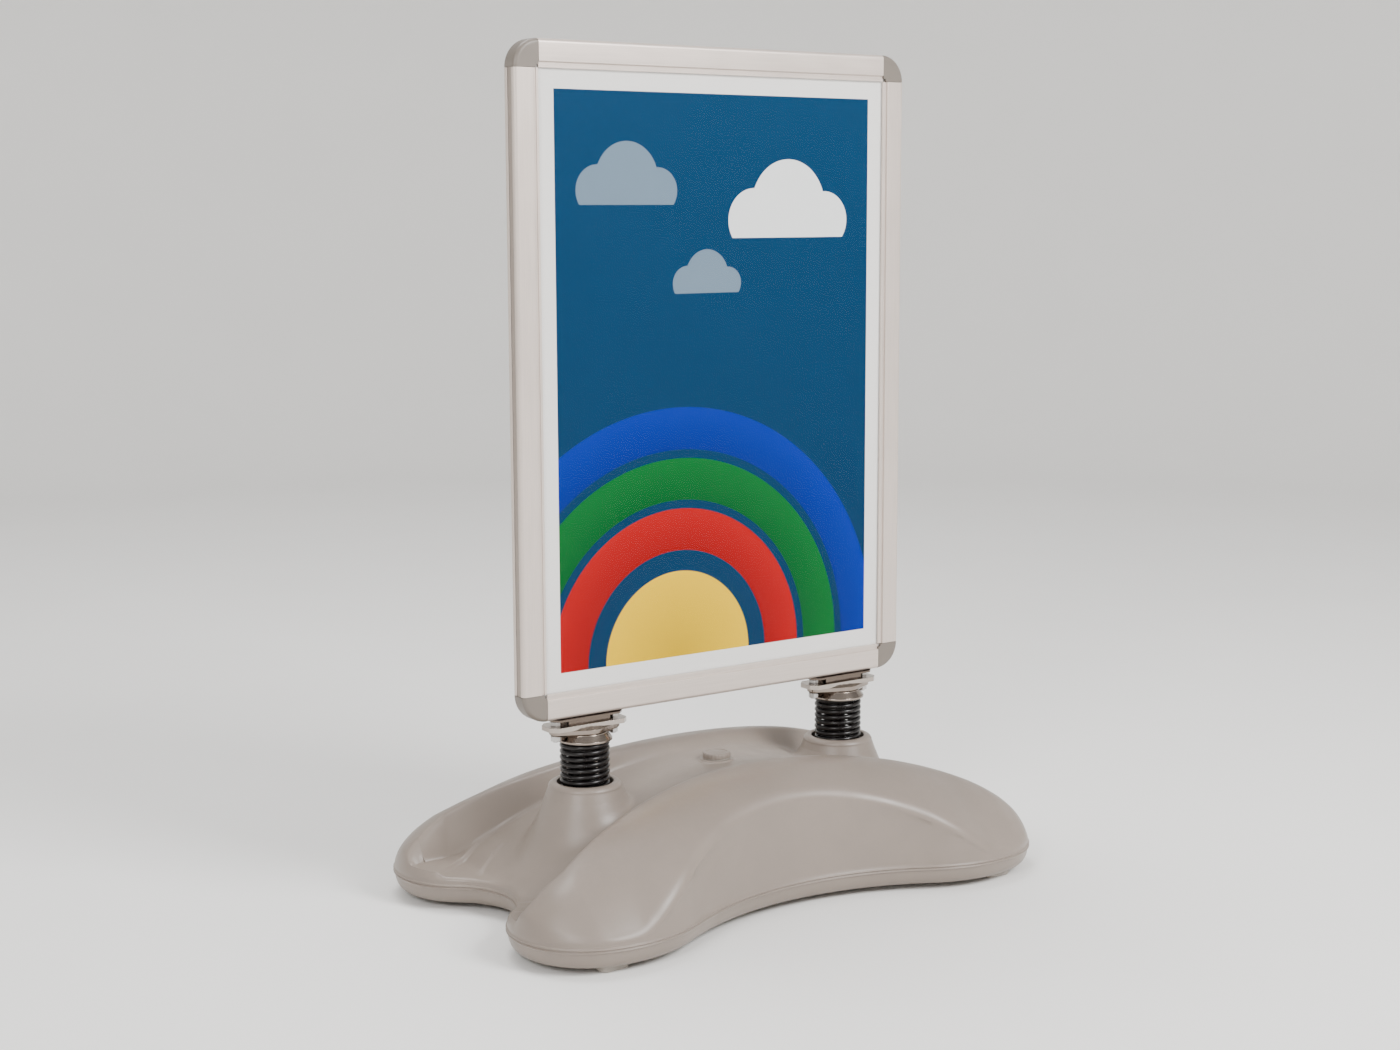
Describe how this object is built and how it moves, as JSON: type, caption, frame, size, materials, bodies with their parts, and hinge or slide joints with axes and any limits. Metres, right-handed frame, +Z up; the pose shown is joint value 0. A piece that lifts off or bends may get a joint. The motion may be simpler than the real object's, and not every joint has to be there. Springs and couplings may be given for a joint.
{
  "type": "pavement sign",
  "caption": "Double-sided poster snap frame on two coil springs above an arched, water-filled base, with lids that snap open on each side.",
  "frame": {"origin": "on the ground, under the middle of the base", "axes": "+Z up, X along the panel's width, the front faces -Y"},
  "size_m": [0.8462, 0.532, 1.165],
  "materials": {
    "tank_plastic": "satin moulded, warm grey",
    "foot_rubber": "matte grey",
    "plug_plastic": "satin moulded, warm grey",
    "spring_steel": "gloss black",
    "clamp_chrome": "bright",
    "zinc_steel": "zinc plated",
    "frame_aluminium": "satin anodised",
    "corner_plastic": "satin, silver grey",
    "board_plastic": "white sheet",
    "poster_print": "printed paper, blue field with a white border",
    "clear_sheet": "clear, low glare"
  },
  "bodies": {
    "base": {"base_tank": "tank_plastic", "foot_pads": "foot_rubber", "spring_left": "spring_steel", "spring_right": "spring_steel", "lower_anchor_left": "zinc_steel", "lower_anchor_right": "zinc_steel", "anchor_bolts": "zinc_steel", "anchor_washers": "zinc_steel"},
    "panel": {"spring_cup_left": "clamp_chrome", "spring_cup_right": "clamp_chrome", "upper_anchor_left": "zinc_steel", "upper_anchor_right": "zinc_steel", "clamp_plate_left": "clamp_chrome", "clamp_plate_right": "clamp_chrome", "clamp_saddle_left": "clamp_chrome", "clamp_saddle_right": "clamp_chrome", "clamp_bolts": "zinc_steel", "clamp_nuts": "zinc_steel", "centre_bolts": "zinc_steel", "saddle_screws": "zinc_steel", "nut_bars": "zinc_steel", "rail_bottom": "frame_aluminium", "rail_right": "frame_aluminium", "rail_top": "frame_aluminium", "rail_left": "frame_aluminium", "corner_cap_bottom_left": "corner_plastic", "corner_cap_bottom_right": "corner_plastic", "corner_cap_top_right": "corner_plastic", "corner_cap_top_left": "corner_plastic", "corner_braces": "zinc_steel", "backing_front": "board_plastic", "backing_back": "board_plastic", "poster_front": "poster_print", "poster_back": "poster_print", "cover_front": "clear_sheet", "cover_back": "clear_sheet", "lid_springs_front": "zinc_steel", "lid_springs_back": "zinc_steel"},
    "filler_seal": {"filler_seal": "foot_rubber"},
    "filler_plug": {"filler_plug": "plug_plastic"},
    "lid_front_bottom": {"lid_front_bottom": "frame_aluminium"},
    "lid_back_bottom": {"lid_back_bottom": "frame_aluminium"},
    "lid_front_right": {"lid_front_right": "frame_aluminium"},
    "lid_back_right": {"lid_back_right": "frame_aluminium"},
    "lid_front_top": {"lid_front_top": "frame_aluminium"},
    "lid_back_top": {"lid_back_top": "frame_aluminium"},
    "lid_front_left": {"lid_front_left": "frame_aluminium"},
    "lid_back_left": {"lid_back_left": "frame_aluminium"}
  },
  "joints": [
    {"name": "panel_tilt", "type": "hinge", "parent": "base", "child": "panel", "pos_m": [0, 0, 0.2063], "axis": [1, 0, 0], "range_deg": [-25, 25], "stiffness_Nm_per_rad": 200, "deforming": ["spring_left", "spring_right"]},
    {"name": "plug_lift", "type": "slide", "parent": "base", "child": "filler_seal", "axis": [0, 0, 1], "range_m": [0, 0.012]},
    {"name": "plug_turn", "type": "hinge", "parent": "filler_seal", "child": "filler_plug", "pos_m": [0, 0, 0.1745], "axis": [0, 0, 1], "range_deg": [0, 1081]},
    {"name": "lid_front_bottom_open", "type": "hinge", "parent": "panel", "child": "lid_front_bottom", "pos_m": [0, -0.0085, 0.2755], "axis": [1, 0, 0], "range_deg": [0, 88]},
    {"name": "lid_back_bottom_open", "type": "hinge", "parent": "panel", "child": "lid_back_bottom", "pos_m": [0, 0.0085, 0.2755], "axis": [-1, 0, 0], "range_deg": [0, 88]},
    {"name": "lid_front_right_open", "type": "hinge", "parent": "panel", "child": "lid_front_right", "pos_m": [0.3185, -0.0085, 0.7175], "axis": [0, 0, 1], "range_deg": [0, 88]},
    {"name": "lid_back_right_open", "type": "hinge", "parent": "panel", "child": "lid_back_right", "pos_m": [0.3185, 0.0085, 0.7175], "axis": [0, 0, -1], "range_deg": [0, 88]},
    {"name": "lid_front_top_open", "type": "hinge", "parent": "panel", "child": "lid_front_top", "pos_m": [0, -0.0085, 1.1595], "axis": [-1, 0, 0], "range_deg": [0, 88]},
    {"name": "lid_back_top_open", "type": "hinge", "parent": "panel", "child": "lid_back_top", "pos_m": [0, 0.0085, 1.1595], "axis": [1, 0, 0], "range_deg": [0, 88]},
    {"name": "lid_front_left_open", "type": "hinge", "parent": "panel", "child": "lid_front_left", "pos_m": [-0.3185, -0.0085, 0.7175], "axis": [0, 0, -1], "range_deg": [0, 88]},
    {"name": "lid_back_left_open", "type": "hinge", "parent": "panel", "child": "lid_back_left", "pos_m": [-0.3185, 0.0085, 0.7175], "axis": [0, 0, 1], "range_deg": [0, 88]}
  ],
  "couplings": [
    {"joint": "plug_turn", "follows": "plug_lift", "rad_per_m": 1570.8}
  ]
}
